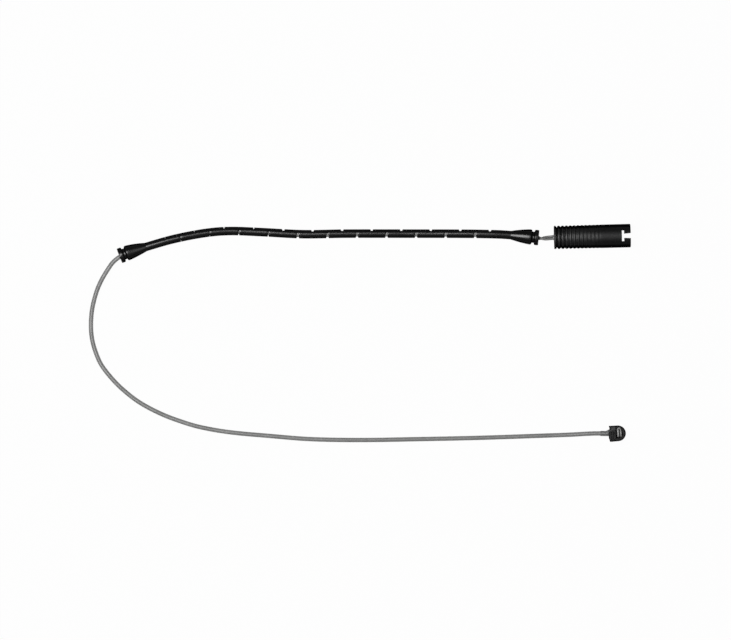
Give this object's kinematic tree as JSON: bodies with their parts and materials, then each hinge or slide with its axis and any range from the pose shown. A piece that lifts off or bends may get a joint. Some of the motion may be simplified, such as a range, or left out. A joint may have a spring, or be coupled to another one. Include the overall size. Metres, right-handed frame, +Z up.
{
  "type": "brake pad wear sensor",
  "caption": "Brake pad wear sensor: a round ribbed plug, a slotted rubber sleeve with clip-in collars, a thin grey lead and a moulded D-shaped sensor head, laid out flat.",
  "frame": {"origin": "on the table, midway between the outer ends of the plug, the sleeve and the head, lead left out", "axes": "+X the way the plug's mouth faces, near enough; +Y from the head towards the sleeve; +Z up from the table"},
  "size_m": [0.2927, 0.1179, 0.0127],
  "materials": {
    "plug_plastic": "black moulded plastic with a soft sheen",
    "carrier_plastic": "dark grey moulded plastic",
    "tinned_contact": "tinned brass, bright",
    "seal_rubber": "soft silicone seal, dull",
    "core_insulation": "light grey wire insulation, slightly glossy",
    "sleeve_rubber": "black moulded rubber with a soft sheen",
    "lead_jacket": "mid grey cable jacket, satin",
    "boot_rubber": "dark grey rubber, satin",
    "head_plastic": "black moulded plastic with a soft sheen"
  },
  "bodies": {
    "root": {"plug_barrel": "plug_plastic", "contact_carrier": "carrier_plastic", "contact_pin_1": "tinned_contact", "contact_pin_2": "tinned_contact", "rear_seal": "seal_rubber", "core_wire_1": "core_insulation", "core_wire_2": "core_insulation", "protective_sleeve": "sleeve_rubber", "sensor_lead": "lead_jacket", "lead_boot": "boot_rubber", "head_body": "head_plastic", "wear_loop": "core_insulation"}
  },
  "joints": []
}
